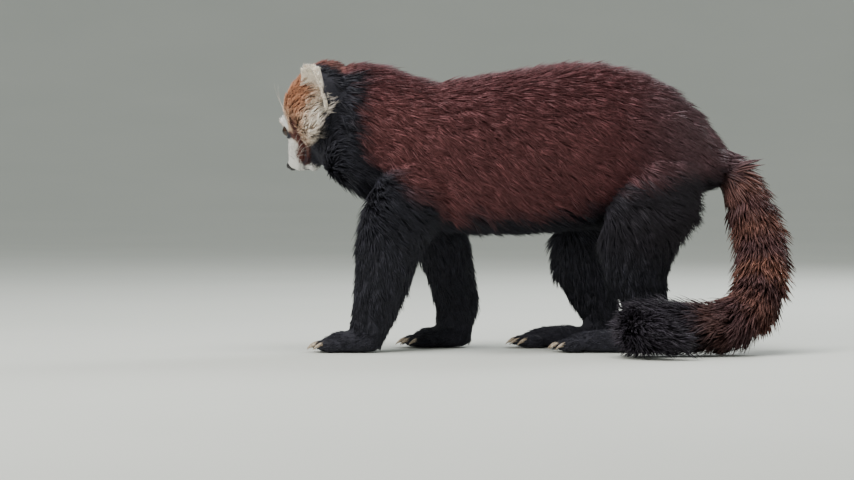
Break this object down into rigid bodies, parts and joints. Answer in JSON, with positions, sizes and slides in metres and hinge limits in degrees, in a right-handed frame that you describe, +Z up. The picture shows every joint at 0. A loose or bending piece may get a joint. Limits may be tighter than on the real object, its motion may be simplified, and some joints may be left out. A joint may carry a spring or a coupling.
{
  "type": "red panda figure",
  "caption": "Life-size still model of a red panda walking with its head lowered and its bushy tail curled round on the floor.",
  "frame": {"origin": "on the floor plane under the middle of the model's box", "axes": "+Z up, -X the way the animal faces, -Y towards the animal's left side"},
  "size_m": [0.5606, 0.318, 0.32],
  "materials": {
    "red_coat": "deep maroon-red fur",
    "dark_coat": "black fur",
    "face_coat": "orange-brown and white face fur",
    "tail_coat": "ringed maroon fur",
    "ear_coat": "cream fur",
    "eye": "glossy dark brown",
    "nose": "moist black skin"
  },
  "bodies": {
    "root": {"head": "face_coat", "neck": "red_coat", "torso": "red_coat", "foreleg_left": "dark_coat", "foreleg_right": "dark_coat", "hindleg_left": "dark_coat", "hindleg_right": "dark_coat", "ear_left": "ear_coat", "ear_right": "ear_coat", "eye_left": "eye", "eye_right": "eye", "nose": "nose", "tail_1": "tail_coat", "tail_2": "tail_coat", "tail_3": "tail_coat", "tail_4": "tail_coat"}
  },
  "joints": []
}
